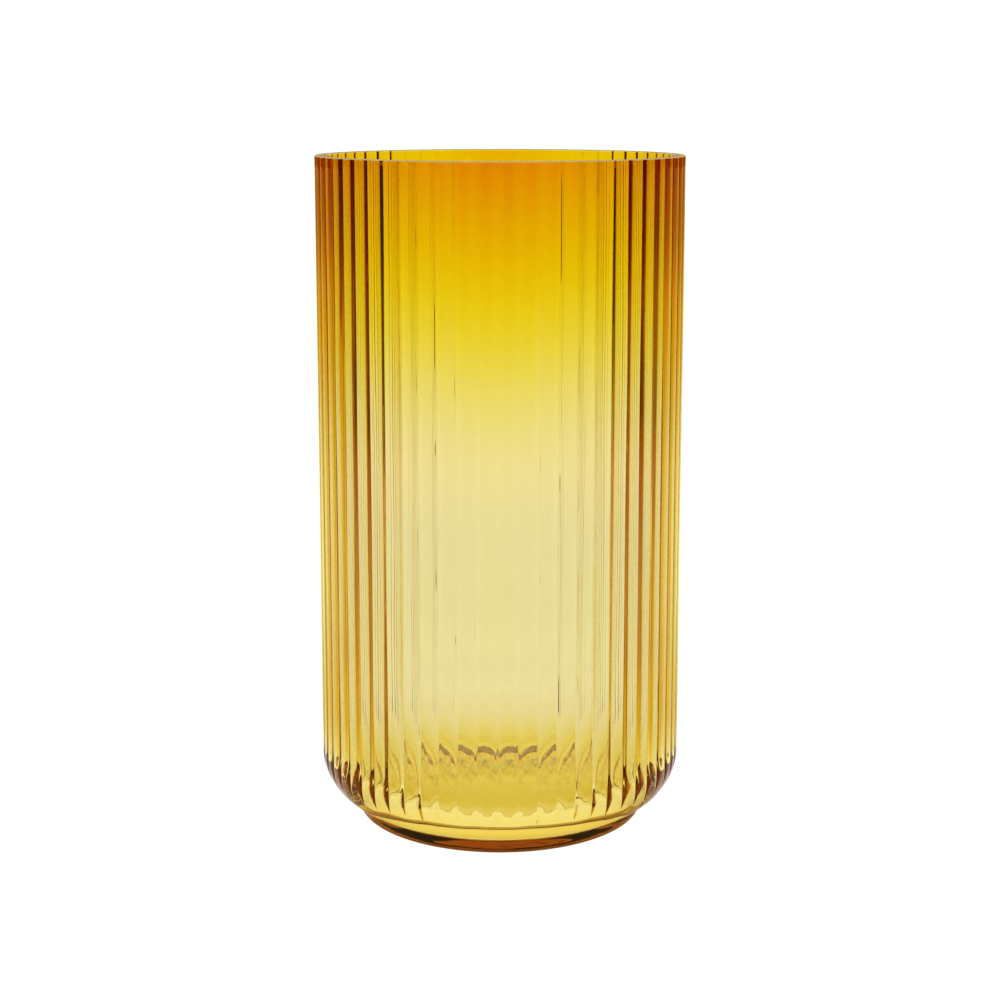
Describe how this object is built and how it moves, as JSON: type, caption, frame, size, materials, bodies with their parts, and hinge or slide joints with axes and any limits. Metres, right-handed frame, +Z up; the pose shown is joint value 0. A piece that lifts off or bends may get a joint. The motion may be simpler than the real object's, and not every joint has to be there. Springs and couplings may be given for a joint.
{
  "type": "ribbed glass vase",
  "caption": "Tall hand blown amber glass vase: ribbed cylindrical wall, deep colour fading downwards from the rim, rounded shoulder on a recessed foot.",
  "frame": {"origin": "centre of the face that the foot stands on", "axes": "+Z up along the vase's axis, from the foot to the mouth; +X and +Y are level, and the vase looks the same all round"},
  "size_m": [0.1702, 0.1702, 0.31],
  "materials": {
    "amber_glass": "clear, smooth, deep amber",
    "casing_glass": "clear, fire polished ribs, ground and polished rim",
    "foot_glass": "clear, smooth, ground resting ring"
  },
  "bodies": {
    "root": {"amber_lining": "amber_glass", "ribbed_casing": "casing_glass", "foot_disc": "foot_glass"}
  },
  "joints": []
}
